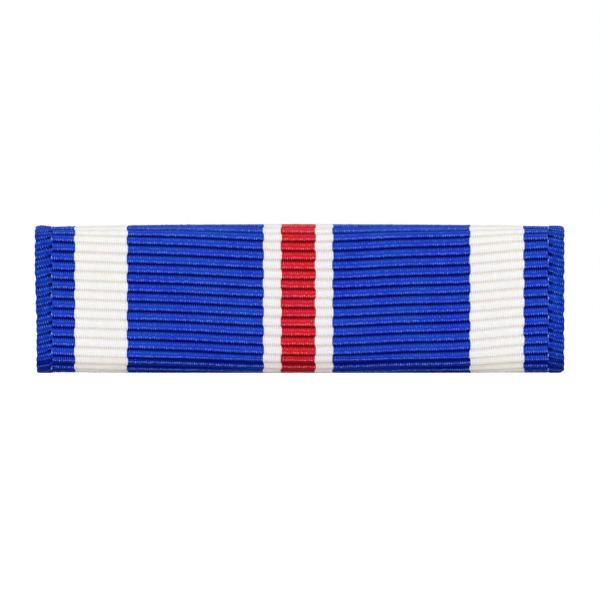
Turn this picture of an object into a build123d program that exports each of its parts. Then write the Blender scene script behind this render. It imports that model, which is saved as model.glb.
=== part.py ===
"""Service ribbon bar: a ribbon folded round a channel plate that slides on a two-post mounting bar.

Millimetres. X runs along the ribbon's length, Z is up as the ribbon is worn, and the wearer's
garment is on the +Y side. The origin is the centre of the ribbon's rear face.
"""

import os

from build123d import *

os.makedirs("parts", exist_ok=True)

# Ribbon and the stack that it wraps
ribbon_width = 34.925  # standard 1 3/8 inch ribbon, selvedge to selvedge
ribbon_height = 9.95
fabric_thickness = 0.40
tape_thickness = 0.08
sheet_thickness = 0.35
bar_thickness = 0.60
bar_play = 0.025  # sliding play on each side of the bar's thickness
slot_height = 4.60  # open slot between the two folded ribbon edges

# Plate, tape and mounting bar
plate_width = 34.30
tape_width = 33.60
bar_width = 34.00
bar_height = 7.20
bar_corner_radius = 0.90
bead_length = 11.0
bead_height = 1.70
bead_depth = 0.30
bead_inset = 0.25  # the bead's hollow is this much smaller all round than the bead
bead_round = 0.14

# Pin posts
post_spacing = 20.64  # 13/16 inch between centres
shank_radius = 0.575
pad_radius = 1.80
pad_thickness = 0.50
pad_chamfer = 0.12
spigot_radius = 0.80
head_radius = 1.10
stake_gap = 0.01  # between the staked spigot and its hole
groove_depth = 0.10
groove_width = 0.60
thin_cloth_groove_y = 1.05
tip_groove_y = 4.90
taper_start_y = 5.70
tip_y = 6.90
tip_radius = 0.07

# Butterfly clutch, measured from the face that presses on the garment
cloth_gap = 1.00  # garment thickness between the ribbon's rear face and the clutch
cap_radius = 4.70
cap_sheet = 0.35
cap_corner = 0.50
cap_height = 1.80
lip_reach = 1.35
lip_round = 0.25
entry_radius = 0.80
funnel_radius = 1.90
funnel_rise = 0.40
window_height = 4.90
window_floor = 0.62

# Clutch wings: two sheets that overlap on the post and grip it from opposite sides
wing_sheet = 0.25
near_wing_level = 0.80
far_wing_level = 1.10
wing_radius = 3.85
wing_far_end = 1.60
wing_hole_radius = 0.85
grip_gap = 0.01
neck_height = 4.40
neck_length = 4.85
bend_radius = 0.60
bend_angle = 72.0
tab_straight = 2.20
flare_radius = 1.60
flare_angle = 35.0
tab_half_height = 2.90
tab_widest = 1.95  # above the wing's level
tab_top = 3.50
plan_step = 0.56  # past the neck, where the flat sheet has turned up into the tab

# Clutch spring: an open ring squeezed between one lanced tab of each wing
spring_wire = 0.30
spring_radius = 2.35
spring_level = 0.42
spring_opening = 70.0
lance_half_height = 0.80
lance_gap = 0.05
lance_window = 0.40

# Levels through the thickness, from the garment side forwards
flange_rear = -fabric_thickness
flange_front = flange_rear - sheet_thickness
tuck_front = flange_front - fabric_thickness
bar_rear = tuck_front - bar_play
bar_front = bar_rear - bar_thickness
floor_rear = bar_front - bar_play
floor_front = floor_rear - sheet_thickness
tape_front = floor_front - tape_thickness
ribbon_front = tape_front - fabric_thickness

# Bends, all centred at one height
ribbon_bend = -ribbon_front / 2
bend_z = ribbon_height / 2 - ribbon_bend
flange_end_z = slot_height / 2 + fabric_thickness + sheet_thickness / 2


def fold(start_y, end_y, z, top=True):
    """Half circle from one level to another, bulging away from z or back towards the slot."""
    rise = abs(end_y - start_y) / 2
    peak = z + rise if top else z - rise
    return ThreePointArc((start_y, z), ((start_y + end_y) / 2, peak), (end_y, z))


# Channel plate: a floor with both long edges folded back into flanges
with BuildPart() as ribbon_plate:
    with BuildSketch(Plane.YZ):
        with BuildLine():
            Line((floor_front, 0), (floor_front, bend_z))
            fold(floor_front, flange_rear, bend_z)
            Line((flange_rear, bend_z), (flange_rear, flange_end_z))
            fold(flange_rear, flange_front, flange_end_z, top=False)
            Line((flange_front, flange_end_z), (flange_front, bend_z))
            fold(flange_front, floor_rear, bend_z)
            Line((floor_rear, bend_z), (floor_rear, 0))
            Line((floor_rear, 0), (floor_front, 0))
        make_face()
        mirror(about=Plane.XZ)
    extrude(amount=plate_width / 2, both=True)
ribbon_plate.part.label = "ribbon_plate"

# Ribbon: over the front, round both long edges, over the flanges and tucked in behind them
with BuildPart() as ribbon:
    with BuildSketch(Plane.YZ):
        with BuildLine():
            Line((ribbon_front, 0), (ribbon_front, bend_z))
            fold(ribbon_front, 0, bend_z)
            Line((0, bend_z), (0, flange_end_z))
            fold(0, tuck_front, flange_end_z, top=False)
            Line((tuck_front, flange_end_z), (tuck_front, bend_z))
            Line((tuck_front, bend_z), (flange_front, bend_z))
            Line((flange_front, bend_z), (flange_front, flange_end_z))
            fold(flange_front, flange_rear, flange_end_z, top=False)
            Line((flange_rear, flange_end_z), (flange_rear, bend_z))
            fold(flange_rear, tape_front, bend_z)
            Line((tape_front, bend_z), (tape_front, 0))
            Line((tape_front, 0), (ribbon_front, 0))
        make_face()
        mirror(about=Plane.XZ)
    extrude(amount=ribbon_width / 2, both=True)
ribbon.part.label = "ribbon"

# Adhesive tape between the plate's floor and the ribbon
with BuildPart() as adhesive_tape:
    with BuildSketch(Plane.XZ.offset(-floor_front)):
        Rectangle(tape_width, 2 * bend_z)
    extrude(amount=tape_thickness)
adhesive_tape.part.label = "adhesive_tape"

# Mounting bar: a flat strip with a pressed stiffening bead and two countersunk post holes
with BuildPart() as mounting_bar:
    with BuildSketch(Plane.XZ.offset(-bar_rear)):
        RectangleRounded(bar_width, bar_height, bar_corner_radius)
    extrude(amount=bar_thickness)
    with BuildSketch(Plane.XZ.offset(-bar_rear)):
        SlotOverall(bead_length, bead_height)
    extrude(amount=-bead_depth)
    bead_rim = mounting_bar.faces().sort_by(Axis.Y)[-1].edges()
    fillet(bead_rim, radius=bead_round)
    with BuildSketch(Plane.XZ.offset(-bar_front)):
        SlotOverall(bead_length - 2 * bead_inset, bead_height - 2 * bead_inset)
    extrude(amount=-bead_depth, mode=Mode.SUBTRACT)
    with Locations(Plane.XZ.offset(-bar_front)):
        with GridLocations(post_spacing, 0, 2, 1):
            CounterSinkHole(
                radius=spigot_radius + stake_gap,
                counter_sink_radius=head_radius + stake_gap,
                depth=bar_thickness,
            )
mounting_bar.part.label = "mounting_bar"

export_step(ribbon.part, "parts/ribbon.step")
export_step(adhesive_tape.part, "parts/adhesive_tape.step")
export_step(ribbon_plate.part, "parts/ribbon_plate.step")
export_step(mounting_bar.part, "parts/mounting_bar.step")


def build_pin_post(name, post_x):
    """One turned post: staked spigot, pad, grooved shank and sharp tip."""
    pad_rear = bar_rear + pad_thickness
    sink_depth = head_radius - spigot_radius
    profile = [
        (0, bar_front),
        (head_radius, bar_front),
        (spigot_radius, bar_front + sink_depth),
        (spigot_radius, bar_rear),
        (pad_radius, bar_rear),
        (pad_radius, pad_rear - pad_chamfer),
        (pad_radius - pad_chamfer, pad_rear),
        (shank_radius, pad_rear),
    ]
    for groove_y in (thin_cloth_groove_y, tip_groove_y):
        profile += [
            (shank_radius, groove_y),
            (shank_radius - groove_depth, groove_y + groove_width / 2),
            (shank_radius, groove_y + groove_width),
        ]
    profile += [(shank_radius, taper_start_y), (tip_radius, tip_y), (0, tip_y)]
    with BuildPart() as post:
        with BuildSketch(Plane(origin=(post_x, 0, 0))):
            with BuildLine():
                Polyline(*profile, close=True)
            make_face()
        revolve(axis=Axis((post_x, 0, 0), (0, 1, 0)))
    post.part.label = name
    export_step(post.part, f"parts/{name}.step")


def build_clutch_cap(name, post_x):
    """The cup that presses on the garment, open at both sides where the wings come out."""
    floor = cloth_gap
    rim = cloth_gap + cap_height
    inner_radius = cap_radius - cap_sheet
    with BuildPart() as cap:
        with BuildSketch(Plane(origin=(post_x, floor, 0))):
            with BuildLine():
                Polyline(
                    (cap_radius - cap_corner, 0),
                    (funnel_radius, 0),
                    (entry_radius, funnel_rise),
                    (entry_radius, funnel_rise + cap_sheet),
                    (entry_radius + cap_sheet / 2, funnel_rise + cap_sheet),
                    (funnel_radius + cap_sheet / 2, cap_sheet),
                    (cap_radius - cap_corner, cap_sheet),
                )
                RadiusArc(
                    (cap_radius - cap_corner, cap_sheet),
                    (inner_radius, cap_corner),
                    -(cap_corner - cap_sheet),
                )
                Polyline(
                    (inner_radius, cap_corner),
                    (inner_radius, cap_height - cap_sheet),
                    (cap_radius - lip_reach, cap_height - cap_sheet),
                    (cap_radius - lip_reach, cap_height),
                    (cap_radius - lip_round, cap_height),
                )
                RadiusArc(
                    (cap_radius - lip_round, cap_height),
                    (cap_radius, cap_height - lip_round),
                    lip_round,
                )
                Line((cap_radius, cap_height - lip_round), (cap_radius, cap_corner))
                RadiusArc((cap_radius, cap_corner), (cap_radius - cap_corner, 0), cap_corner)
            make_face()
        revolve(axis=Axis((post_x, 0, 0), (0, 1, 0)))
        with BuildSketch(Plane.XZ.offset(-rim)):
            with Locations((post_x, 0)):
                Rectangle(3 * cap_radius, window_height)
        extrude(amount=cap_height - window_floor, mode=Mode.SUBTRACT)
    cap.part.label = name
    export_step(cap.part, f"parts/{name}.step")


def build_clutch_wing(name, post_x, side, level):
    """One wing: a flat sheet on the post, a neck through the cap's side and a flared finger tab."""
    sheet_y = cloth_gap + level
    side_view = Plane(origin=(post_x, sheet_y, 0), x_dir=(side, 0, 0), z_dir=(0, 0, side))
    plan_view = Plane(origin=(post_x, sheet_y, 0), x_dir=(side, 0, 0), z_dir=(0, -1, 0))
    hole_x = wing_hole_radius - shank_radius - grip_gap
    lance_x = spring_radius + spring_wire / 2 + lance_gap
    lance_drop = level - spring_level
    with BuildPart() as wing:
        with BuildSketch(side_view):
            with BuildLine():
                flat = Line((-wing_radius, wing_sheet / 2), (neck_length, wing_sheet / 2))
                turn = JernArc(flat @ 1, flat % 1, bend_radius, bend_angle)
                straight = PolarLine(turn @ 1, tab_straight, direction=turn % 1)
                JernArc(straight @ 1, straight % 1, flare_radius, -flare_angle)
            trace(line_width=wing_sheet)
        extrude(amount=wing_radius, both=True)
        with BuildSketch(plan_view):
            Circle(wing_radius)
            with Locations((-wing_radius, 0)):
                cut_width = 2 * (wing_radius - wing_far_end)
                Rectangle(cut_width, 2 * wing_radius, mode=Mode.SUBTRACT)
            Rectangle(neck_length + plan_step, neck_height, align=(Align.MIN, Align.CENTER))
            with Locations((neck_length + plan_step, 0)):
                Rectangle(tab_top, 2 * tab_half_height, align=(Align.MIN, Align.CENTER))
            with Locations((hole_x, 0)):
                Circle(wing_hole_radius, mode=Mode.SUBTRACT)
            with Locations((lance_x + wing_sheet, 0)):
                Rectangle(
                    lance_window,
                    2 * lance_half_height,
                    align=(Align.MIN, Align.CENTER),
                    mode=Mode.SUBTRACT,
                )
        extrude(amount=-2 * tab_top, both=True, mode=Mode.INTERSECT)
        with BuildSketch(Plane.YZ.offset(post_x)):
            with BuildLine():
                foot = sheet_y + wing_sheet
                Polyline(
                    (foot, 0),
                    (sheet_y - wing_sheet, 0),
                    (sheet_y - wing_sheet, wing_radius),
                    (foot, wing_radius),
                    (foot, neck_height / 2),
                )
                Spline(
                    (foot, neck_height / 2),
                    (sheet_y + tab_widest, tab_half_height),
                    tangents=((1, 0), (1, 0)),
                )
                Spline(
                    (sheet_y + tab_widest, tab_half_height),
                    (sheet_y + tab_top, 0),
                    tangents=((1, 0), (0, -1)),
                )
                Line((sheet_y + tab_top, 0), (foot, 0))
            make_face()
            mirror(about=Plane.XZ)
        extrude(amount=3 * cap_radius, both=True, mode=Mode.INTERSECT)
        with BuildSketch(side_view):
            with Locations((lance_x, 0)):
                Rectangle(wing_sheet, lance_drop, align=(Align.MIN, Align.MAX))
        extrude(amount=lance_half_height, both=True)
    wing.part.label = name
    export_step(wing.part, f"parts/{name}.step")


def build_clutch_spring(name, post_x):
    """The open ring of spring wire that pushes the two wings apart."""
    with BuildPart() as spring:
        with BuildSketch(Plane(origin=(post_x + spring_radius, cloth_gap + spring_level, 0))):
            Rectangle(spring_wire, spring_wire, align=(Align.CENTER, Align.MIN))
        revolve(axis=Axis((post_x, 0, 0), (0, 1, 0)), revolution_arc=360 - spring_opening)
    turned = spring.part.rotate(Axis((post_x, 0, 0), (0, 1, 0)), -90 + spring_opening / 2)
    turned.label = name
    export_step(turned, f"parts/{name}.step")


for hand, side in (("left", -1), ("right", 1)):
    post_x = side * post_spacing / 2
    build_pin_post(f"pin_post_{hand}", post_x)
    build_clutch_cap(f"clutch_cap_{hand}", post_x)
    build_clutch_spring(f"clutch_spring_{hand}", post_x)
    build_clutch_wing(f"clutch_inner_wing_{hand}", post_x, -side, near_wing_level)
    build_clutch_wing(f"clutch_outer_wing_{hand}", post_x, side, far_wing_level)
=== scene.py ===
"""Service ribbon bar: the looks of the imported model.

X runs along the ribbon, Z up and Y from the front to the back; the origin is in the middle of the
ribbon's rear face. Lengths are in millimetres in this script's own sums, and MM turns them into
Blender's metres. The weave is a formula: each colour stripe is a grid of points, with rows up the
wrapped ribbon and columns across the stripe, lifted to the height of the yarn that lies on top.
"""

import math
from types import SimpleNamespace

import bpy
import numpy as np
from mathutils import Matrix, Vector


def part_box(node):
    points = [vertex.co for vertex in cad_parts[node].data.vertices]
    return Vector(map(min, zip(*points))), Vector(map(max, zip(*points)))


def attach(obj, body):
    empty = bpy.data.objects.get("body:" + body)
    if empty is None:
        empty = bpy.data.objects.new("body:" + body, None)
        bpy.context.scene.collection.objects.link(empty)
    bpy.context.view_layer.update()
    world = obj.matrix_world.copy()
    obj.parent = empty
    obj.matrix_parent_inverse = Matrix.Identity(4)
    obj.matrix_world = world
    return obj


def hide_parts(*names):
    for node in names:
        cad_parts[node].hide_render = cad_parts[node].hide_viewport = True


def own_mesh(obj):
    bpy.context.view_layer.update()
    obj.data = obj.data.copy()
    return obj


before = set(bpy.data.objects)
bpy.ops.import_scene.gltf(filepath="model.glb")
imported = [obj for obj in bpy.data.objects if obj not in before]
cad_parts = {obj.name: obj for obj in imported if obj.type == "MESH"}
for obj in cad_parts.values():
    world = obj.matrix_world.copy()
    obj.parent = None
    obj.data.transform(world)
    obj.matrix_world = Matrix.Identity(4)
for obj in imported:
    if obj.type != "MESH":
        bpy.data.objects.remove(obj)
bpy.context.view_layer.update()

MM = 0.001
rng = np.random.default_rng(7)


# ---------------------------------------------------------------- sizes from the frame


def box_mm(part):
    """Lowest and highest corner of a CAD node, in millimetres."""
    low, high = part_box(part)
    return np.array(low) / MM, np.array(high) / MM


def vertices_mm(part):
    """Every vertex of a CAD node, in millimetres."""
    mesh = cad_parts[part].data
    points = np.empty(len(mesh.vertices) * 3)
    mesh.vertices.foreach_get("co", points)
    return points.reshape(-1, 3) / MM


ribbon_low, ribbon_high = box_mm("ribbon")
tape_low = box_mm("adhesive_tape")[0]
front = ribbon_low[1]
rear = ribbon_high[1]
half_width = ribbon_high[0]
half_height = ribbon_high[2]
fabric = tape_low[1] - front
bend = (rear - front) / 2
bend_z = half_height - bend
middle_y = (front + rear) / 2

# Behind, the CAD ribbon turns in round the plate's lips: slot_edge is how near it comes to the
# middle, and tuck_y the outer face of its tucked legs
bend_margin = 0.05
ribbon_points = vertices_mm("ribbon")
behind = ribbon_points[ribbon_points[:, 1] > middle_y]
slot_edge = np.abs(behind[:, 2]).min()
between_bends = ribbon_points[np.abs(ribbon_points[:, 2]) < bend_z - bend_margin]
tuck_y = between_bends[between_bends[:, 1] > front + 2 * fabric][:, 1].min()
turn = (rear - tuck_y) / 2
turn_z = slot_edge + turn
turn_y = (rear + tuck_y) / 2

# Lengths of the wrap from the front's centre to the cut end, on one side
leg_lengths = [bend_z, math.pi * bend, bend_z - turn_z, math.pi * turn, bend_z - turn_z]
leg_ends = np.cumsum(leg_lengths)
wrap_end = leg_ends[-1]


def wrap(s):
    """y, z and outward normal of the ribbon's face, s along the wrap from the front's centre."""
    side = np.where(s < 0, -1.0, 1.0)
    d = np.abs(s)
    over = (d - leg_ends[0]) / bend
    back = (d - leg_ends[2]) / turn
    legs = [d < leg_ends[0], d < leg_ends[1], d < leg_ends[2], d < leg_ends[3]]
    y = np.select(
        legs,
        [front + 0 * d, middle_y - bend * np.cos(over), rear + 0 * d, turn_y + turn * np.cos(back)],
        tuck_y,
    )
    z = np.select(
        legs,
        [d, bend_z + bend * np.sin(over), bend_z - (d - leg_ends[1]), turn_z - turn * np.sin(back)],
        turn_z + (d - leg_ends[3]),
    )
    normal_y = np.select(legs, [-1 + 0 * d, -np.cos(over), 1 + 0 * d, np.cos(back)], -1.0)
    normal_z = np.select(legs, [0 * d, np.sin(over), 0 * d, -np.sin(back)], 0.0)
    return y, z * side, normal_y, normal_z * side


# ---------------------------------------------------------------- the weave

rib_pitch = 0.627  # one weft cord to the next
first_groove = 0.008  # height of the groove nearest the front's centre, at its lowest
rib_depth = 0.21  # crest to groove
rib_flatness, rib_steepness = 2.5, 0.62  # a rib's section: broad on top and steep at its grooves
float_reach, float_taper = 1.08, 0.14  # half a yarn's float, in half ribs, and its loss at the sides
float_unevenness = 0.006  # how much one float's height differs from the next
yarn_round = 0.022  # crest of a warp yarn to the line between two yarns
yarn_fullness = 0.94  # share of a half circle that a yarn's section shows
yarn_swing = 2.4  # how squarely a stripe's border steps from one rib to the next
crest_sink = 0.02  # how far the crests lie under the CAD ribbon's face
rows_per_rib = 11
columns_per_yarn = 4
most_yarns = 400  # across one strip

# The ribs sag towards the middle: their rise at a few places across the ribbon
rib_line_x = [-17.5, -12.4, -7.5, -3.4, -1.2, 2.4, 6.6, 10.8, 14.8, 17.5]
rib_line_rise = [0.65, 0.453, 0.29, 0.08, 0.0, 0.0, 0.19, 0.324, 0.665, 0.76]
sag_ends = (-0.3, 0.6)  # where the sag starts to end and has ended, past the inner turn

# The folds are pressed flatter towards the two ends
fold_press = 0.01  # depth at the middle, and below it what the ends add
fold_press_end = {"upper_left": 0.17, "upper_right": 0.135, "lower": 0.035}
fold_press_reach = 16.0  # x from which an end adds all of it
fold_press_power = 1.7  # the higher, the later it grows
fold_press_fades = (0.147, 0.567)  # from the fold's middle, as shares of its length

# Where things start and are full round a fold, as shares of its turn from the front
upper_sheen_span = (0.12, 0.26)  # painted sheen, and weaker painted groove shade, at the upper fold
lower_sheen_span = (0.27, 0.32)  # and at the lower one
lower_sheen_share = 0.75  # strength of the lower fold's painted sheen, where the upper one's is full
fold_sheen_end = (0.55, 0.75)  # and both end behind
underside_darkens = (0.03, 0.15)  # painted shade on the ribs where the lower fold faces down
underside_ends = (0.6, 0.9)
underside_shade = 0.62  # painted shade: how far the lower fold's colour goes to that of the grooves

first_border = -16.39  # the left selvedge meets the body of the ribbon here
stripes = [
    # name, colour, width, warp yarns
    ("stripe_blue_edge_left", "blue", 1.52, 11),
    ("stripe_white_left", "white", 3.47, 24),
    ("stripe_blue_left", "blue", 8.98, 62),
    ("stripe_white_centre_left", "centre_white", 1.18, 8),
    ("stripe_red", "red", 2.25, 16),
    ("stripe_white_centre_right", "centre_white", 1.16, 8),
    ("stripe_blue_right", "blue", 9.05, 62),
    ("stripe_white_right", "white", 3.56, 24),
    ("stripe_blue_edge_right", "blue", 1.62, 11),
]
last_border = first_border + sum(width for _, _, width, _ in stripes)

# The selvedges: the left one is side -1 and the right one is side 1
selvedge_yarns = 7
selvedge_depth = 0.13  # crest to groove
selvedge_proud = {-1: 0.06, 1: 0.0}  # how far it stands out from the body's face
proud_from = 0.7  # share of its width where it has risen that far
selvedge_lean = {-1: 0.055, 1: 0.0}  # how far the edge leans out at the top and in at the bottom
lean_height = 2.0  # above and below the middle, where the lean is full
selvedge_tilt = 0.24  # how far a selvedge rib falls from the body to the edge
selvedge_roll = 0.10  # how far the face rolls over at the very edge
roll_start = 0.6  # share of the selvedge's width where it starts to roll
roll_roundness = 0.98  # 1 for a whole quarter round
selvedge_overlap = 0.06  # how far it reaches in under the body's edge
seam_depth = 0.08  # the dip where it meets the body
seam_span = (-0.06, 0.10)  # shares of the width where the dip is deepest and where it ends
edge_thickness = 0.75  # share of the fabric's thickness that is left at the edge
bar_clearance = 0.2  # it lies flat from this far before the inner turn, clear of the mounting bar
corner_radius = 0.14  # seen from the front
scallop = 0.022  # of the edge, from rib to rib
notch_reach = 0.24  # share of the selvedge's width
plain_depth = 0.8  # share of the depth where there is no notch
notch_depth = 0.9  # share of the depth that a notch adds
notch_width = 0.26  # of its painted shade, as a share of the selvedge's width
small_notch = 0.6  # the painted shade at a rib without a notch, as a share of that
notch_dark = (0.5, 0.7)  # where the painted shade starts and is full, from a crest to a groove

# The binder thread's loops
loop_radius = 0.045
loop_length = 0.22
loop_sink = 0.09  # how far its ends lie under the face
loop_height = 0.12  # how far its middle stands over its ends
loop_lean = 0.008  # how far its ends stand to either side
loop_height_spread = 0.012
loop_x_spread = 0.01
loop_taper = 0.06  # share of a half round that is missing at each end
loop_points = 9


def smooth(t):
    """A smooth step from 0 to 1."""
    t = np.clip(t, 0, 1)
    return t * t * (3 - 2 * t)


def rise(value, low, high):
    """0 up to low, 1 from high on, and smooth between."""
    return smooth((value - low) / (high - low))


def smooth_line(x, knots, values):
    """A smooth curve through a few points: cubic pieces whose slopes match at the knots."""
    knots = np.asarray(knots)
    values = np.asarray(values)
    slopes = np.gradient(values, knots)
    i = np.clip(np.searchsorted(knots, x) - 1, 0, len(knots) - 2)
    span = knots[i + 1] - knots[i]
    t = np.clip((x - knots[i]) / span, 0, 1)
    ahead = smooth(t)
    return (
        (1 - ahead) * values[i]
        + ahead * values[i + 1]
        + span * slopes[i] * t * (1 - t) ** 2
        - span * slopes[i + 1] * t**2 * (1 - t)
    )


def bow(x):
    """Rise of the ribs at x."""
    return smooth_line(x, rib_line_x, rib_line_rise)


def fold_sink(x, s):
    """How far the fabric's face lies under its nominal wrap at the two folds."""
    away = np.minimum(np.abs(x) / fold_press_reach, 1) ** fold_press_power
    upper_end = np.where(x < 0, fold_press_end["upper_left"], fold_press_end["upper_right"])
    end = np.where(s > 0, upper_end, fold_press_end["lower"])
    middle_of_fold = leg_ends[0] + leg_lengths[1] / 2
    from_middle = np.abs(np.abs(s) - middle_of_fold) / leg_lengths[1]
    return (1 - rise(from_middle, *fold_press_fades)) * (fold_press + end * away)


def rib_rows():
    """Rib number and phase (0 and 1 at the grooves) of every row of the grid, closer at the grooves."""
    step = np.arange(rows_per_rib) / rows_per_rib
    phase = (step + (1 - np.cos(math.pi * step)) / 2) / 2
    lowest = math.ceil((-wrap_end - first_groove) / rib_pitch)
    highest = math.floor((wrap_end - first_groove) / rib_pitch)
    ribs = np.repeat(np.arange(lowest, highest), rows_per_rib)
    phases = np.tile(phase, highest - lowest)
    return np.append(ribs, highest), np.append(phases, 0.0)


row_rib, row_phase = rib_rows()
rib_total = row_rib.max() - row_rib.min() + 3
parity = np.where(row_rib % 2 == 0, 1.0, -1.0)


def grain(along, across, depth):
    """Height of one yarn's float: along is 0 at the crest and 1 at the groove, across 0 to 1."""
    reach = float_reach - float_taper * across**2
    share = np.minimum(along / reach, 1.0)
    arch = np.maximum(1 - share**rib_flatness, 0) ** rib_steepness
    lobe = 1 - np.sqrt(np.maximum(1 - (yarn_fullness * across) ** 2, 0))
    return depth * arch - yarn_round * lobe


def weave_height(yarn, depth, seed):
    """Height of the fabric's face under its crests, where yarn counts the warp yarns across."""
    along = np.abs(2 * row_phase - 1)[:, None]

    # The yarns on top of one rib stand half a yarn to the side of those on top of the next
    own = yarn - parity[:, None] / 4
    other = yarn + parity[:, None] / 4
    own_across = np.abs(own % 1 - 0.5) * 2
    other_across = np.abs(other % 1 - 0.5) * 2

    draws = np.random.default_rng(seed).normal(size=(rib_total, most_yarns))
    unevenness = float_unevenness * draws
    rib_index = (row_rib - row_rib.min() + 1)[:, None] + np.zeros(yarn.shape, dtype=int)
    next_index = rib_index + np.where(row_phase > 0.5, 1, -1)[:, None]
    own_height = grain(along, own_across, depth)
    own_height += unevenness[rib_index, np.floor(own).astype(int) % most_yarns]
    other_height = grain(2 - along, other_across, depth)
    other_height += unevenness[next_index, np.floor(other).astype(int) % most_yarns]
    return np.maximum(own_height, other_height) - depth


def add_object(name, data):
    """An object linked into the scene."""
    made = bpy.data.objects.new(name, data)
    bpy.context.scene.collection.objects.link(made)
    return made


def add_mesh(name, vertices, faces, material, attributes=None):
    """A smooth-shaded mesh object from vertices in millimetres, each with its attributes' values."""
    mesh = bpy.data.meshes.new(name)
    mesh.from_pydata((vertices * MM).tolist(), [], faces)
    mesh.update()
    for key, values in (attributes or {}).items():
        layer = mesh.attributes.new(key, "FLOAT", "POINT")
        layer.data.foreach_set("value", np.asarray(values, dtype=np.float32))
    mesh.polygons.foreach_set("use_smooth", [True] * len(mesh.polygons))
    mesh.materials.append(material)
    return add_object(name, mesh)


def closed_strip_faces(rows, columns):
    """Faces of a grid closed by two inner edge columns: outer face, sides, inner face and ends."""
    grid = np.arange(rows * columns).reshape(rows, columns)
    inner_left = rows * columns + np.arange(rows)
    inner_right = inner_left + rows
    low_left = grid[:-1, :-1].ravel()
    low_right = grid[:-1, 1:].ravel()
    high_right = grid[1:, 1:].ravel()
    high_left = grid[1:, :-1].ravel()
    faces = np.stack([low_left, low_right, high_right, high_left], axis=1).tolist()
    for r in range(rows - 1):
        faces.append([grid[r, 0], grid[r + 1, 0], inner_left[r + 1], inner_left[r]])
        faces.append([grid[r + 1, -1], grid[r, -1], inner_right[r], inner_right[r + 1]])
        faces.append([inner_left[r], inner_left[r + 1], inner_right[r + 1], inner_right[r]])
    faces.append([inner_left[0], inner_right[0]] + grid[0, ::-1].tolist())
    faces.append([inner_right[-1], inner_left[-1]] + grid[-1].tolist())
    return faces


def painted_fold_sheen(s):
    """Up to 1 at the folds, where a sheen is painted and the grooves' painted shade is weaker, else 0.
    """
    over_fold = (np.abs(s) - leg_ends[0]) / leg_lengths[1]
    upper = rise(over_fold, *upper_sheen_span)
    lower = lower_sheen_share * rise(over_fold, *lower_sheen_span)
    return np.where(s > 0, upper, lower) * (1 - rise(over_fold, *fold_sheen_end))


def underside(s):
    """Up to 1 where the lower fold faces down, and shade is painted on its ribs."""
    over_fold = (-s - leg_ends[0]) / leg_lengths[1]
    return rise(over_fold, *underside_darkens) * (1 - rise(over_fold, *underside_ends))


def strip_object(name, x, s, height, yarn, material, shade=0.0, thicknesses=(fabric, fabric)):
    """A closed strip of fabric from its grid of x, wrap position and height."""
    y, z, normal_y, normal_z = wrap(s)
    fold_sheen = painted_fold_sheen(s)
    # Painted shade: the selvedges' notches, and the lower fold where it faces down
    shade = np.maximum(shade, underside_shade * underside(s))
    lift = height - fold_sink(x, s)
    outer = np.stack([x, y + lift * normal_y, z + lift * normal_z], axis=-1)
    thickness = np.linspace(*thicknesses, x.shape[1])[None, :]
    inner = np.stack([x, y - thickness * normal_y, z - thickness * normal_z], axis=-1)
    vertices = np.concatenate([outer.reshape(-1, 3), inner[:, 0], inner[:, -1]])
    rib = (row_rib + row_phase)[:, None] + np.zeros(x.shape)
    grids = {"yarn": yarn, "rib": rib, "fold_sheen": fold_sheen, "shade": shade}
    attributes = {
        key: np.concatenate([grid.ravel(), grid[:, 0], grid[:, -1]]) for key, grid in grids.items()
    }
    return add_mesh(name, vertices, closed_strip_faces(*x.shape), material, attributes)


def sagging(s, rib_rise):
    """Wrap position with the ribs' rise, which fades out before the fabric's cut ends."""
    kept = 1 - rise(np.abs(s) - leg_ends[3], *sag_ends)
    return np.clip(s + rib_rise * kept, -wrap_end, wrap_end)


def stripe(name, left, width, yarns, material, seed):
    """One woven colour stripe, from the tuck behind the lower lip to that behind the upper one."""
    pitch = width / yarns
    t = np.arange(yarns * columns_per_yarn + 1) / columns_per_yarn
    swing = parity * np.clip(yarn_swing * np.sin(math.pi * row_phase), 0, 1) / 4
    yarn = t[None, :] + swing[:, None]
    x = left + yarn * pitch
    height = weave_height(yarn, rib_depth, seed) - crest_sink
    s = sagging(first_groove + (row_rib + row_phase)[:, None] * rib_pitch, bow(x))
    return strip_object(name, x, s, height, yarn, material)


def notched_ribs(side):
    """Which rows are on a rib with a notch: every second rib on the left, all on the right."""
    return ((row_rib % 2 == 1) | (side > 0))[:, None]


def selvedge_height(side, share, s, yarn, seed):
    """Height of a selvedge's face: notched beside the body, and rolled over at the edge."""
    notch = np.exp(-((share / notch_reach) ** 2)) * notched_ribs(side)
    depth = selvedge_depth * (plain_depth + notch_depth * notch)
    over = np.clip((share - roll_start) / (1 - roll_start), 0, 1)
    roll = selvedge_roll * (1 - np.sqrt(1 - roll_roundness * over**2))
    seam = seam_depth * (1 - rise(share, *seam_span))
    clear = 1 - rise(np.abs(s) - leg_ends[2], -bar_clearance, bar_clearance)
    proud = selvedge_proud[side] * rise(share, 0, proud_from) * clear
    return weave_height(yarn, depth, seed) + proud - roll - seam


def selvedge_shade(side, share):
    """Up to 1 in the painted shade of the notches, which is narrower at the ribs without one."""
    near_groove = rise(np.abs(2 * row_phase - 1), *notch_dark)[:, None]
    dark_width = notch_width * np.where(notched_ribs(side), 1.0, small_notch)
    return np.exp(-((np.maximum(share, 0) / dark_width) ** 4)) * near_groove


def selvedge_x(side, share, s, border, width):
    """x across a selvedge: its edge is scalloped, leans, and is rounded at the ribbon's corners."""
    turns = 2 * math.pi * (row_rib + row_phase)[:, None]
    ripple = scallop * (np.cos(turns / 2) - np.cos(turns) - 1)
    up = wrap(s)[1]
    beyond = np.clip((np.abs(up) - half_height + corner_radius) / corner_radius, 0, 1)
    corner = corner_radius * (1 - np.sqrt(1 - beyond**2))
    lean = selvedge_lean[side] * np.clip(up / lean_height, -1, 1)
    return border + side * (share * width + share**2 * (ripple + lean - corner))


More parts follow.
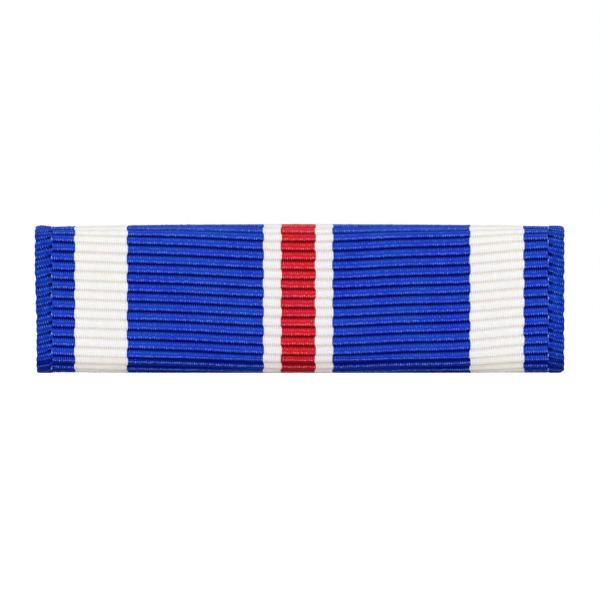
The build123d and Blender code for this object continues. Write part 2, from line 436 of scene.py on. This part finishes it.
def selvedge(name, side, border, material, seed):
    """One woven edge: tubular, its ribs half a pitch off the body's and falling away outwards."""
    width = half_width - abs(border)
    columns = selvedge_yarns * columns_per_yarn + 1
    share = np.linspace(-selvedge_overlap / width, 1, columns)[None, :]
    yarn = side * share * selvedge_yarns + np.zeros((len(row_rib), 1))
    s = first_groove + (row_rib + row_phase + 0.5)[:, None] * rib_pitch - selvedge_tilt * share
    s = sagging(s, bow(border))
    x = selvedge_x(side, share, s, border, width)
    height = selvedge_height(side, share, s, yarn, seed)
    shade = selvedge_shade(side, share)
    x, s, height, yarn, shade = (grid[:, ::side] for grid in (x, s, height, yarn, shade))
    thicknesses = (fabric, edge_thickness * fabric)[::side]
    return strip_object(name, x, s, height, yarn, material, shade, thicknesses)


def tube(points, radii, sides=8):
    """Vertices and faces of a tube through points, closed at each end by a fan of faces."""
    points = np.asarray(points)
    along = np.gradient(points, axis=0)
    along /= np.linalg.norm(along, axis=1)[:, None]
    reference = np.where(np.abs(along[:, :1]) > 0.9, [[0.0, 0.0, 1.0]], [[1.0, 0.0, 0.0]])
    first = np.cross(along, reference)
    first /= np.linalg.norm(first, axis=1)[:, None]
    second = np.cross(along, first)
    angle = (np.arange(sides) * 2 * math.pi / sides)[None, :, None]
    ring = np.cos(angle) * first[:, None] + np.sin(angle) * second[:, None]
    body = points[:, None] + np.asarray(radii)[:, None, None] * ring
    vertices = np.concatenate([body.reshape(-1, 3), points[:1], points[-1:]])
    count = len(points)
    faces = []
    for i in range(count - 1):
        for j in range(sides):
            k = (j + 1) % sides
            faces.append([i * sides + j, i * sides + k, (i + 1) * sides + k, (i + 1) * sides + j])
    start = count * sides
    last_ring = start - sides
    for j in range(sides):
        k = (j + 1) % sides
        faces.append([start, k, j])
        faces.append([start + 1, last_ring + j, last_ring + k])
    return vertices, faces


def tubes_object(name, tubes, material):
    """Several closed tubes as one object."""
    vertices = []
    faces = []
    offset = 0
    for tube_vertices, tube_faces in tubes:
        vertices.append(tube_vertices)
        faces += [[i + offset for i in face] for face in tube_faces]
        offset += len(tube_vertices)
    return add_mesh(name, np.concatenate(vertices), faces, material)


def binder_loops(name, border, first_rib, phase, material):
    """The binder thread's small loops, showing every second rib where a selvedge meets the body."""
    tubes = []
    t = np.linspace(0, 1, loop_points)
    for rib in np.arange(first_rib, row_rib.max(), 2):
        centre = first_groove + (rib + phase) * rib_pitch + bow(border)
        if abs(centre) > leg_ends[2] - loop_length:
            continue
        s = centre + loop_length * (t - 0.5)
        y, z, normal_y, normal_z = wrap(s)
        height = loop_height * np.sin(math.pi * t) - loop_sink - fold_sink(border, s)
        height += loop_height_spread * rng.normal()
        x = border - loop_lean * np.sin(math.pi * (t - 0.5)) + loop_x_spread * rng.normal()
        points = np.stack([x + 0 * y, y + height * normal_y, z + height * normal_z], axis=-1)
        along = loop_taper + (1 - 2 * loop_taper) * t
        tubes.append(tube(points, loop_radius * np.sqrt(np.sin(math.pi * along))))
    return tubes_object(name, tubes, material)


# ---------------------------------------------------------------- shader nodes


def srgb(red, green, blue):
    """Linear colour from 8-bit display values."""
    return tuple(
        c / 12.92 if c <= 0.04045 else ((c + 0.055) / 1.055) ** 2.4
        for c in (red / 255, green / 255, blue / 255)
    ) + (1.0,)


def new_material(name):
    """A material with its node tree and its shader node."""
    material = bpy.data.materials.new(name)
    material.use_nodes = True
    tree = material.node_tree
    return material, tree, tree.nodes["Principled BSDF"]


def set_inputs(tree, target, inputs):
    """Links a node's inputs to sockets, or gives them values."""
    for key, value in inputs.items():
        if isinstance(value, bpy.types.NodeSocket):
            tree.links.new(value, target.inputs[key])
        else:
            target.inputs[key].default_value = value


def node(tree, kind, inputs=None, **settings):
    """A shader node with its settings and its inputs."""
    made = tree.nodes.new(kind)
    for key, value in settings.items():
        setattr(made, key, value)
    set_inputs(tree, made, inputs or {})
    return made


def calc(tree, operation, *values):
    """The result of a maths node."""
    return node(tree, "ShaderNodeMath", dict(enumerate(values)), operation=operation).outputs[0]


def fade(tree, value, low, high):
    """0 up to low, 1 from high on, and smooth between."""
    inputs = {"Value": value, "From Min": low, "From Max": high}
    return node(tree, "ShaderNodeMapRange", inputs, interpolation_type="SMOOTHSTEP").outputs["Result"]


def fade_out(tree, value, low, high):
    """1 up to low, 0 from high on, and smooth between."""
    return calc(tree, "SUBTRACT", 1.0, fade(tree, value, low, high))


def blend(tree, factor, first, second):
    """A number that goes from the first to the second as the factor goes from 0 to 1."""
    return calc(tree, "MULTIPLY_ADD", factor, second - first, first)


def clamp(tree, value):
    """A value held between 0 and 1."""
    return node(tree, "ShaderNodeClamp", {"Value": value}).outputs[0]


def wave(tree, turns):
    """A wave from -1 to 1 that repeats at every whole turn."""
    return calc(tree, "SINE", calc(tree, "MULTIPLY", turns, 2 * math.pi))


def mix(tree, factor, first, second):
    """A colour between two."""
    inputs = {0: factor, 6: first, 7: second}
    return node(tree, "ShaderNodeMix", inputs, data_type="RGBA").outputs[2]


def attribute(tree, name):
    """A mesh's own value at each point."""
    return node(tree, "ShaderNodeAttribute", attribute_name=name).outputs["Fac"]


def object_place(tree):
    """The place of a point on the object, in metres."""
    return node(tree, "ShaderNodeTexCoord").outputs["Object"]


def axes_of(tree, vector):
    """A vector's X, Y and Z."""
    return node(tree, "ShaderNodeSeparateXYZ", {"Vector": vector}).outputs


def noise_value(tree, place, scale, detail=2.0):
    """Cloudy noise, mostly between 0.3 and 0.7."""
    inputs = {"Vector": place, "Scale": scale, "Detail": detail}
    return node(tree, "ShaderNodeTexNoise", inputs).outputs["Fac"]


def stretched_place(tree, place, size, turn):
    """Places counted in sizes of so many millimetres along each axis, turned about Y."""
    inputs = {
        "Vector": place,
        "Rotation": (0.0, turn, 0.0),
        "Scale": tuple(length * MM for length in size),
    }
    return node(tree, "ShaderNodeMapping", inputs, vector_type="TEXTURE").outputs[0]


def random_value(tree, *place):
    """A random value for each whole-numbered place; its last number sets one use off from others."""
    vector = node(tree, "ShaderNodeCombineXYZ", dict(enumerate(place))).outputs[0]
    noise = node(tree, "ShaderNodeTexWhiteNoise", {"Vector": vector}, noise_dimensions="3D")
    return noise.outputs["Value"]


def bumped(tree, height, strength, depth, **normal):
    """The normal of a face with bumps of a depth in millimetres."""
    inputs = {"Height": height, "Strength": strength, "Distance": depth * MM, **normal}
    return node(tree, "ShaderNodeBump", inputs).outputs["Normal"]


# ---------------------------------------------------------------- yarns

# A rib's phase goes from 0 at its lower groove to 1 at its upper one. Across a yarn, 0 is its
# middle and 1 its side. A pair of places is where something starts or starts to fade, and where
# it is full or gone.
# The dark of a groove is painted shade: there the yarn's colour goes to its groove colour
groove_dark_edge = (0.465, 0.515)  # phase from the crest
beside_yarn = (0.35, 0.65)  # across, where the painted shade of a groove has its teeth
tooth_shares = (0.7, 1.2)  # shortest and longest tooth, as shares of a yarn's own length of teeth
shade_widens = 0.1  # phase by which the painted groove shade grows where shade is painted
shade_left_in_sheen = 0.3  # share of the painted groove shade that is left where the folds' sheen is painted

# The gleams are painted highlights: rows of lighter colour on each float
gleam_stagger = 0.05  # phase by which a yarn's gleams may be off their row
gleam_shade_shift = 0.6  # phase by which they go up the rib where shade is painted
lower_gleam_length = (0.03, 0.16)  # phase from the row
upper_gleam_length = (0.03, 0.19)
gleam_width = (0.15, 0.65)  # across
gleam_side_share = 0.2  # what is left of a gleam at the yarn's side
gleam_shares = (0.25, 1.2)  # weakest and strongest gleam
gleam_rarity = 1.4  # above 1, strong gleams are rarer than weak ones

twist_turns = 4.0  # turns of the yarn's twist over one rib
hatch_turns = 1.5  # turns of the painted sheen's hatch over one rib at the folds
hatch_share = 0.8  # how far it goes to its own colour
hue_swing = 0.02
patch_swing = 0.9  # lightness of the cloudy patches, as a share of a yarn's variation
patch_scale, hue_scale, fibre_scale = 700.0, 450.0, 16000.0  # per metre
fibre_share = 1.2  # height of the fibres, as a share of the twist's
yarn_bumps = 0.006


def weave_place(tree, lean):
    """Where a point is in the weave, with random values for its float and for that float's end."""
    rib = attribute(tree, "rib")
    rib_index = calc(tree, "FLOOR", rib)
    phase = calc(tree, "FRACT", rib)
    odd = calc(tree, "PINGPONG", rib_index, 1.0)

    # The yarns on top of one rib stand half a yarn to the side of those on top of the next
    own = calc(tree, "SUBTRACT", attribute(tree, "yarn"), blend(tree, odd, 0.25, -0.25))
    own_index = calc(tree, "FLOOR", own)
    from_crest = calc(tree, "SUBTRACT", phase, 0.5)
    leaned = calc(tree, "FRACT", calc(tree, "MULTIPLY_ADD", from_crest, lean, own))
    upper = calc(tree, "GREATER_THAN", phase, 0.5)
    row = calc(tree, "MULTIPLY_ADD", rib_index, 2.0, upper)
    return SimpleNamespace(
        own=own,
        phase=phase,
        from_crest=from_crest,
        upper=upper,
        across=calc(tree, "ABSOLUTE", blend(tree, leaned, -1.0, 1.0)),
        float_random=random_value(tree, own_index, rib_index, 0.5),
        end_random=random_value(tree, own_index, row, 7.5),
        fold_sheen=attribute(tree, "fold_sheen"),
        shade=attribute(tree, "shade"),
    )


def painted_groove_shade(tree, weave, teeth, core):
    """1 in the painted shade of a groove, which reaches up and down the ribs between two yarns."""
    reach = blend(tree, weave.upper, *teeth)
    reach = calc(tree, "MULTIPLY", reach, blend(tree, weave.end_random, *tooth_shares))
    between = fade(tree, weave.across, *beside_yarn)
    depth = calc(tree, "MULTIPLY_ADD", between, reach, calc(tree, "ABSOLUTE", weave.from_crest))
    depth = calc(tree, "MULTIPLY_ADD", weave.shade, shade_widens, depth)
    dark = fade(tree, depth, groove_dark_edge[0] - core, groove_dark_edge[1] - core)
    return calc(tree, "MULTIPLY", dark, blend(tree, weave.fold_sheen, 1.0, shade_left_in_sheen))


def gleam_row(tree, phase, middle, length):
    """1 at a row of painted highlights, and less above and below it."""
    return fade_out(tree, calc(tree, "ABSOLUTE", calc(tree, "SUBTRACT", phase, middle)), *length)


def gleam_shine(tree, weave, gleams, strength, shaded_gleam):
    """Up to 1 in the painted highlights of each float, low on the rib and, weaker, high on it."""
    low, high, high_share = gleams
    stagger = blend(tree, weave.float_random, -gleam_stagger, gleam_stagger)
    staggered = calc(tree, "ADD", weave.phase, stagger)
    staggered = calc(tree, "MULTIPLY_ADD", weave.shade, -gleam_shade_shift, staggered)
    lower_row = gleam_row(tree, staggered, low, lower_gleam_length)
    upper_row = gleam_row(tree, staggered, high, upper_gleam_length)
    rows = calc(tree, "MULTIPLY_ADD", upper_row, high_share, lower_row)
    share = blend(tree, calc(tree, "POWER", weave.end_random, gleam_rarity), *gleam_shares)
    ridge = blend(tree, fade_out(tree, weave.across, *gleam_width), gleam_side_share, 1.0)
    shine = calc(tree, "MULTIPLY", calc(tree, "MULTIPLY", rows, share), ridge)
    strength_here = blend(tree, weave.shade, strength, strength * (1 + shaded_gleam))
    return clamp(tree, calc(tree, "MULTIPLY", shine, strength_here))


def yarn_material(
    name,
    groove,
    body,
    gleam,
    sheen,
    tint,
    teeth,
    core,
    gleams,
    gleam_strength,
    variation,
    lean=0.5,
    shaded_gleam=0.45,
):
    """Filament yarn over weft cords: painted shade in toothed grooves, painted highlights in rows.

    groove, body, gleam and sheen are colours: of the grooves' painted shade, of the yarn, of its
    painted highlights, and of the painted sheen's hatch at the folds. tint colours its highlights.
    teeth says how far the painted groove shade reaches above and below a groove between two
    yarns, and core how much of it is there all along. gleams has the phases of the two rows of
    painted highlights and the upper one's share. variation is how much lighter or darker one
    float is than another, lean how many yarns a float slants over a rib, and shaded_gleam how
    much stronger the painted highlights are where shade is painted.
    """
    material, tree, shader = new_material(name)
    weave = weave_place(tree, lean)
    dark = painted_groove_shade(tree, weave, teeth, core)
    shine = gleam_shine(tree, weave, gleams, gleam_strength, shaded_gleam)
    twist = wave(tree, calc(tree, "MULTIPLY_ADD", weave.phase, twist_turns, weave.own))
    hatch = wave(tree, calc(tree, "MULTIPLY_ADD", weave.phase, hatch_turns, weave.own))
    hatch = calc(tree, "MULTIPLY_ADD", hatch, hatch_share / 2, hatch_share / 2)

    # Painted shade on the lower fold and in the notches
    colour = mix(tree, weave.shade, body, groove)
    # Painted sheen: a pale hatch at the folds
    colour = mix(tree, calc(tree, "MULTIPLY", hatch, weave.fold_sheen), colour, sheen)
    # Painted highlights
    colour = mix(tree, shine, colour, gleam)
    # Painted shade in the grooves
    colour = mix(tree, dark, colour, groove)

    place = object_place(tree)
    patches = noise_value(tree, place, patch_scale, 3.0)
    swing = patch_swing * variation
    patches = blend(tree, patches, 1 - swing, 1 + swing)
    floats = blend(tree, weave.float_random, 1 - variation / 2, 1 + variation / 2)
    hues = noise_value(tree, place, hue_scale)
    varied = {
        "Color": colour,
        "Value": calc(tree, "MULTIPLY", patches, floats),
        "Hue": blend(tree, hues, 0.5 - hue_swing / 2, 0.5 + hue_swing / 2),
    }
    fibres = noise_value(tree, place, fibre_scale)
    height = calc(tree, "MULTIPLY_ADD", fibres, fibre_share, twist)
    look = {
        "Base Color": node(tree, "ShaderNodeHueSaturation", varied).outputs["Color"],
        "Normal": bumped(tree, height, 0.5, yarn_bumps),
        "Roughness": 0.5,
        "Specular IOR Level": 0.3,
        "Specular Tint": tint,
        "Sheen Weight": 0.03,
        "Sheen Roughness": 0.4,
        "Sheen Tint": tint,
    }
    set_inputs(tree, shader, look)
    return material


def thread_material(name, dark, pale):
    """A fine twisted thread, darker in the turns of its twist."""
    material, tree, shader = new_material(name)
    inputs = {"Vector": object_place(tree), "Scale": 9000.0, "Distortion": 1.5}
    turns = node(tree, "ShaderNodeTexWave", inputs, bands_direction="DIAGONAL").outputs["Fac"]
    look = {
        "Base Color": mix(tree, turns, dark, pale),
        "Normal": bumped(tree, turns, 0.6, 0.01),
        "Roughness": 0.45,
    }
    set_inputs(tree, shader, look)
    return material


body_gleams = (0.25, 0.70, 0.35)  # phases of the two rows of painted highlights, and the upper one's share
# In each yarn, groove is the colour of painted shade, gleam of painted highlights and sheen of a
# painted sheen
yarns = {
    "blue": yarn_material(
        "blue_yarn",
        groove=srgb(0, 9, 98),
        body=srgb(24, 59, 186),
        gleam=srgb(98, 130, 250),
        sheen=srgb(26, 76, 158),
        tint=srgb(70, 110, 255),
        teeth=(0.15, 0.19),
        core=0.077,
        gleams=body_gleams,
        gleam_strength=1.05,
        variation=0.12,
    ),
    "white": yarn_material(
        "white_yarn",
        groove=srgb(230, 223, 213),
        body=srgb(241, 240, 237),
        gleam=srgb(255, 255, 255),
        sheen=srgb(244, 242, 238),
        tint=srgb(255, 255, 255),
        teeth=(0.18, 0.22),
        core=0.0,
        gleams=body_gleams,
        gleam_strength=0.6,
        variation=0.03,
    ),
    "centre_white": yarn_material(
        "centre_white_yarn",
        groove=srgb(226, 217, 210),
        body=srgb(238, 236, 236),
        gleam=srgb(250, 250, 252),
        sheen=srgb(240, 238, 236),
        tint=srgb(255, 255, 255),
        teeth=(0.19, 0.24),
        core=0.0,
        gleams=body_gleams,
        gleam_strength=0.8,
        variation=0.03,
    ),
    "selvedge": yarn_material(
        "selvedge_yarn",
        groove=srgb(0, 8, 96),
        body=srgb(8, 47, 164),
        gleam=srgb(96, 136, 246),
        sheen=srgb(30, 70, 172),
        tint=srgb(70, 120, 255),
        teeth=(0.26, 0.26),
        core=-0.06,
        gleams=(0.17, 0.72, 0.7),
        gleam_strength=0.75,
        variation=0.34,
        lean=1.5,
        shaded_gleam=-0.4,
    ),
    "red": yarn_material(
        "red_yarn",
        groove=srgb(120, 0, 10),
        body=srgb(210, 20, 43),
        gleam=srgb(255, 104, 112),
        sheen=srgb(200, 60, 72),
        tint=srgb(255, 120, 130),
        teeth=(0.16, 0.2),
        core=0.07,
        gleams=body_gleams,
        gleam_strength=1.35,
        variation=0.09,
    ),
}
binder_thread = thread_material("binder_thread", srgb(78, 104, 214), srgb(160, 172, 250))


# ---------------------------------------------------------------- the ribbon

cursor = first_border
ribbon_pieces = []
for index, (name, colour, width, count) in enumerate(stripes):
    ribbon_pieces.append(stripe(name, cursor, width, count, yarns[colour], 100 + index))
    cursor += width
ribbon_pieces += [
    selvedge("selvedge_left", -1, first_border, yarns["selvedge"], 201),
    selvedge("selvedge_right", 1, last_border, yarns["selvedge"], 202),
    binder_loops("binder_loops_left", first_border, -17, 0.35, binder_thread),
    binder_loops("binder_loops_right", last_border, -18, 0.86, binder_thread),
]

for piece in ribbon_pieces:
    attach(piece, "ribbon_unit")
    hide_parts("ribbon")


# ---------------------------------------------------------------- metals

post_low, post_high = box_mm("pin_post_right")
post_x = (post_low[0] + post_high[0]) / 2

scratch_length, scratch_spacing = 4.0, 0.45
scratch_width = 0.05  # half of it, as a share of the spacing
scratch_taper = (0.3, 0.95)  # where it starts to fade and is gone, from its middle to its end
scratch_share = 0.3  # of the places for a scratch that have one
scratch_turns = {0.6: 1.5, -1.1: 4.5}  # slopes in radians, each with its random seed
scratch_depth = 0.6  # as a share of the depth of the marks of making

# Metal is worn bright near its edges, and tarnishes in clouds and near its corners
worn_radius = 0.07
worn_edge = (0.75, 0.995)  # where worn metal ends, by how flat the face is within that radius
white_share = 0.4  # in the colour of polished metal
worn_polish, scratch_polish = 0.55, 0.25  # how far each goes to that colour
corner_reach = 0.9
cloud_scale = 330.0  # per metre
cloud_edge = (0.42, 0.72)
cloud_tarnish, corner_tarnish, mark_tarnish = 0.45, 0.8, 0.25
tarnish_spared = 0.1  # taken off everywhere, so that plain metal stays bright
cloud_roughness = 0.11  # more in the clouds, and less between them


def rolling_marks(tree, place):
    """Marks of rolled sheet: fine streaks along X."""
    return noise_value(tree, stretched_place(tree, place, (5.0, 0.12, 0.12), 0.0), 1.0, 3.0)


def stamping_marks(tree, place):
    """Marks of stamped sheet: fine streaks up and down."""
    return noise_value(tree, stretched_place(tree, place, (0.12, 0.4, 4.0), 0.0), 1.0, 3.0)


def turning_marks(tree, place):
    """Marks of turned or spun metal: circles round the nearer post's axis."""
    axes = axes_of(tree, place)
    from_post = calc(tree, "SUBTRACT", calc(tree, "ABSOLUTE", axes["X"]), post_x * MM)
    squares = calc(tree, "MULTIPLY", axes["Z"], axes["Z"])
    squares = calc(tree, "MULTIPLY_ADD", from_post, from_post, squares)
    ring_place = {0: calc(tree, "SQRT", squares), 1: axes["Y"]}
    ring = node(tree, "ShaderNodeCombineXYZ", ring_place).outputs[0]
    return noise_value(tree, ring, 8000.0, 3.0)


def hairlines(tree, place, turn, seed):
    """Straight hairline scratches in parallel tracks, each with its own place across and its ends."""
    turned = stretched_place(tree, place, (scratch_length, 1.0, scratch_spacing), turn)
    axes = axes_of(tree, turned)
    track = calc(tree, "FLOOR", axes["Z"])
    track_random = random_value(tree, track, 0.5, seed)
    along = calc(tree, "MULTIPLY_ADD", track_random, 7.0, axes["X"])
    piece_random = random_value(tree, track, calc(tree, "FLOOR", along), seed + 0.5)
    middle = blend(tree, track_random, 0.2, 0.8)
    across = calc(tree, "SUBTRACT", calc(tree, "FRACT", axes["Z"]), middle)
    line = fade_out(tree, calc(tree, "ABSOLUTE", across), 0.0, scratch_width)
    from_middle = calc(tree, "ABSOLUTE", blend(tree, calc(tree, "FRACT", along), -1.0, 1.0))
    tapered = fade_out(tree, from_middle, *scratch_taper)
    scratched = calc(tree, "GREATER_THAN", piece_random, 1 - scratch_share)
    strength = calc(tree, "MULTIPLY", scratched, piece_random)
    return calc(tree, "MULTIPLY", calc(tree, "MULTIPLY", line, tapered), strength)


def metal_material(name, bright, tarnished, roughness, marks, mark_depth):
    """Metal with the marks of its making, hairlines, worn edges and tarnish, deepest in corners."""
    material, tree, shader = new_material(name)
    place = object_place(tree)
    lines = marks(tree, place)
    scratches = [hairlines(tree, place, turn, seed) for turn, seed in scratch_turns.items()]
    scratched = calc(tree, "MAXIMUM", *scratches)

    rounded = node(tree, "ShaderNodeBevel", {"Radius": worn_radius * MM}, samples=6).outputs[0]
    flat = node(tree, "ShaderNodeNewGeometry").outputs["Normal"]
    normals = {0: rounded, 1: flat}
    agreement = node(tree, "ShaderNodeVectorMath", normals, operation="DOT_PRODUCT").outputs["Value"]
    worn = fade_out(tree, agreement, *worn_edge)
    reach = {"Distance": corner_reach * MM}
    open_share = node(tree, "ShaderNodeAmbientOcclusion", reach, samples=6).outputs["AO"]
    corners = calc(tree, "SUBTRACT", 1.0, open_share)

    clouds = noise_value(tree, place, cloud_scale, 5.0)
    dull = calc(tree, "MULTIPLY", fade(tree, clouds, *cloud_edge), cloud_tarnish)
    dull = calc(tree, "MULTIPLY_ADD", corners, corner_tarnish, dull)
    dull = calc(tree, "SUBTRACT", dull, tarnish_spared)
    dull = calc(tree, "MULTIPLY_ADD", lines, mark_tarnish, dull)
    colour = mix(tree, clamp(tree, dull), bright, tarnished)
    polished = tuple((1 - white_share) * c + white_share for c in bright)
    colour = mix(tree, calc(tree, "MULTIPLY", worn, worn_polish), colour, polished)
    colour = mix(tree, calc(tree, "MULTIPLY", scratched, scratch_polish), colour, polished)

    rough = blend(tree, clouds, roughness - cloud_roughness, roughness + cloud_roughness)
    for part, change in ((lines, 0.10), (corners, 0.25), (worn, -0.10), (scratched, 0.12)):
        rough = calc(tree, "MULTIPLY_ADD", part, change, rough)

    height = calc(tree, "MULTIPLY_ADD", scratched, -scratch_depth, lines)
    look = {
        "Base Color": colour,
        "Roughness": rough,
        "Normal": bumped(tree, height, 1.0, mark_depth, Normal=rounded),
        "Metallic": 1.0,
    }
    set_inputs(tree, shader, look)
    return material


def film_material(name, clear, cloudy):
    """Thin adhesive film: waxy, with faint air bubbles."""
    material, tree, shader = new_material(name)
    place = object_place(tree)
    cells = node(tree, "ShaderNodeTexVoronoi", {"Vector": place, "Scale": 1800.0})
    bubbles = fade_out(tree, cells.outputs["Distance"], 0.10, 0.22)
    colour = mix(tree, noise_value(tree, place, 600.0, 3.0), clear, cloudy)
    look = {
        "Base Color": mix(tree, calc(tree, "MULTIPLY", bubbles, 0.5), colour, cloudy),
        "Normal": bumped(tree, bubbles, 0.5, 0.01),
        "Roughness": 0.38,
    }
    set_inputs(tree, shader, look)
    return material


bar_metal = metal_material(
    "rolled_brass", srgb(214, 178, 104), srgb(140, 100, 48), 0.34, rolling_marks, 0.0035
)
cap_metal = metal_material(
    "pressed_brass", srgb(226, 190, 112), srgb(156, 112, 54), 0.22, turning_marks, 0.002
)
wing_metal = metal_material(
    "stamped_brass", srgb(224, 187, 108), srgb(150, 108, 52), 0.26, stamping_marks, 0.002
)
post_metal = metal_material(
    "turned_brass", srgb(222, 196, 138), srgb(146, 112, 64), 0.24, turning_marks, 0.004
)
plate_metal = metal_material(
    "nickel_plate", srgb(206, 205, 200), srgb(166, 162, 154), 0.26, rolling_marks, 0.003
)
wire_metal = metal_material(
    "spring_steel", srgb(186, 187, 190), srgb(96, 94, 92), 0.28, turning_marks, 0.003
)
tape_film = film_material("tape_film", srgb(226, 220, 196), srgb(238, 236, 226))

finishes = {"adhesive_tape": tape_film, "ribbon_plate": plate_metal, "mounting_bar": bar_metal}
for hand in ("left", "right"):
    finishes[f"pin_post_{hand}"] = post_metal
    finishes[f"clutch_cap_{hand}"] = cap_metal
    finishes[f"clutch_inner_wing_{hand}"] = wing_metal
    finishes[f"clutch_outer_wing_{hand}"] = wing_metal
for part, material in finishes.items():
    part_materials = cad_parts[part].data.materials
    part_materials.clear()
    part_materials.append(material)


# ---------------------------------------------------------------- clutch springs

spring_opening = 70.0  # degrees, at the top
spring_end_bend = 0.12
spring_bent_from = 0.9  # share of each half of the ring that is round
wire_slack = 0.98  # share of the CAD wire's radius, so that it lies clear of the wings
wire_end_from, wire_end_share = 0.995, 0.8  # where the wire's end narrows, and to what share
ring_points, wire_sides = 97, 16


def clutch_spring(hand):
    """An open ring of round wire, its ends bent in, that goes with its clutch; on the real clutch the
    wings squeeze it when pinched.
    """
    low, high = box_mm(f"clutch_spring_{hand}")
    wire_radius = (high[1] - low[1]) / 2
    centre_x = (low[0] + high[0]) / 2
    centre_y = (low[1] + high[1]) / 2
    ring_radius = (high[0] - low[0]) / 2 - wire_radius
    half_opening = math.radians(spring_opening / 2)
    angle = np.linspace(math.pi / 2 + half_opening, 2.5 * math.pi - half_opening, ring_points)
    share = np.abs(np.linspace(-1, 1, ring_points))
    reach = ring_radius - spring_end_bend * rise(share, spring_bent_from, 1)
    points = np.stack(
        [centre_x + reach * np.cos(angle), centre_y + 0 * angle, reach * np.sin(angle)], axis=-1
    )
    radii = wire_radius * np.where(share > wire_end_from, wire_end_share, wire_slack)
    wire = tube(points, radii, wire_sides)
    spring = tubes_object(f"clutch_spring_wire_{hand}", [wire], wire_metal)
    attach(spring, f"{hand}_clutch")
    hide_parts(f"clutch_spring_{hand}")
    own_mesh(spring)


for hand in ("left", "right"):
    clutch_spring(hand)


# ---------------------------------------------------------------- stage, light and camera

# Lengths here are in metres, except where it says millimetres
floor_size = 12.0
floor_rise = 0.05  # millimetres that the lower fold is pressed into the floor
paper_lightness = (0.88, 0.90)  # from fibre to fibre
paper_glow = 0.60  # what makes the floor as bright as the surround to the camera
bounced_colour, bounced_glow = (0.85, 0.85, 0.86, 1), 0.12  # the floor as it lights the object
light_below = (0.30, 0.30, 0.31, 1)
light_level = (0.55, 0.55, 0.55, 1)
light_above = (0.8, 0.8, 0.8, 1)
dimmer_behind = 0.45  # share of the surround's light that is lost behind the object
softboxes = [
    # name, place, width, height, watts
    ("front", (-0.03, -0.45, 0.06), 0.34, 0.11, 0.62),
    ("key", (-0.12, -0.26, 0.34), 0.30, 0.20, 0.15),
    ("back_right", (0.22, 0.42, 0.16), 0.30, 0.12, 0.35),
    ("back_left", (-0.36, 0.34, 0.07), 0.10, 0.30, 0.35),
]
camera_distance = 1.2
camera_height = -0.1  # millimetres
frame_width = 39.6  # millimetres that the picture spans at the ribbon's face
nearest_seen, farthest_seen = 0.01, 20.0


def by_viewer(tree, for_light, for_camera, output):
    """One shader for the light that falls on the object, and another for what the camera sees."""
    camera_ray = node(tree, "ShaderNodeLightPath").outputs["Is Camera Ray"]
    both = node(tree, "ShaderNodeMixShader", {0: camera_ray, 1: for_light, 2: for_camera})
    tree.links.new(both.outputs[0], tree.nodes[output].inputs["Surface"])


def studio_world():
    """A white surround for the camera, and soft light for the object, dimmer below and behind."""
    world = bpy.data.worlds.new("studio")
    bpy.context.scene.world = world
    world.use_nodes = True
    tree = world.node_tree
    axes = axes_of(tree, node(tree, "ShaderNodeTexCoord").outputs["Generated"])
    ramp = node(tree, "ShaderNodeValToRGB", {"Fac": fade(tree, axes["Z"], -1.0, 1.0)})
    ramp.color_ramp.elements[0].color = light_below
    ramp.color_ramp.elements[1].color = light_above
    ramp.color_ramp.elements.new(0.5).color = light_level
    behind = fade(tree, axes["Y"], 0.0, 0.7)
    surround = tree.nodes["Background"]
    strength = blend(tree, behind, 1.0, 1 - dimmer_behind)
    set_inputs(tree, surround, {"Color": ramp.outputs["Color"], "Strength": strength})
    seen = node(tree, "ShaderNodeBackground", {"Color": (1, 1, 1, 1), "Strength": 1.0})
    by_viewer(tree, surround.outputs[0], seen.outputs[0], "World Output")


def glowing_paper(tree, colour, glow):
    """A matt face that gives off some light of its own."""
    paper = node(tree, "ShaderNodeBsdfDiffuse", {"Color": colour}).outputs[0]
    light = node(tree, "ShaderNodeEmission", {"Strength": glow}).outputs[0]
    return node(tree, "ShaderNodeAddShader", {0: paper, 1: light}).outputs[0]


def floor_material():
    """Pale matt paper: to the camera it is as bright as the surround, and it takes soft shadows."""
    material, tree, shader = new_material("pale_floor")
    tree.nodes.remove(shader)
    fibre = blend(tree, noise_value(tree, object_place(tree), 900.0), *paper_lightness)
    seen = glowing_paper(tree, fibre, paper_glow)
    bounced = glowing_paper(tree, bounced_colour, bounced_glow)
    by_viewer(tree, bounced, seen, "Material Output")
    return material


def build_floor(size, height):
    """A wide flat floor under the object."""
    corners = [(x * size / 2, y * size / 2, height) for x, y in ((-1, -1), (1, -1), (1, 1), (-1, 1))]
    mesh = bpy.data.meshes.new("floor")
    mesh.from_pydata(corners, [], [(0, 1, 2, 3)])
    mesh.materials.append(floor_material())
    add_object("floor", mesh)


def softbox(name, place, width, height, watts):
    """An area light aimed at the object, itself out of the camera's sight."""
    light = bpy.data.lights.new(name, "AREA")
    light.shape = "RECTANGLE"
    light.size = width
    light.size_y = height
    light.energy = watts
    made = add_object(name, light)
    made.location = place
    made.rotation_euler = (-Vector(place)).to_track_quat("-Z", "Y").to_euler()
    made.visible_camera = False


def front_camera():
    """A camera straight in front of the ribbon, far off and with a long lens."""
    camera = bpy.data.cameras.new("camera")
    camera.sensor_width = 36.0
    camera.lens = camera.sensor_width * camera_distance / (frame_width * MM)
    camera.clip_start = nearest_seen
    camera.clip_end = farthest_seen
    made = add_object("camera", camera)
    made.location = (0.0, front * MM - camera_distance, camera_height * MM)
    made.rotation_euler = (math.pi / 2, 0, 0)
    return made


studio_world()
build_floor(floor_size, -(half_height - floor_rise) * MM)
for box in softboxes:
    softbox(*box)
bpy.context.scene.camera = front_camera()
bpy.context.scene.view_settings.view_transform = "Standard"
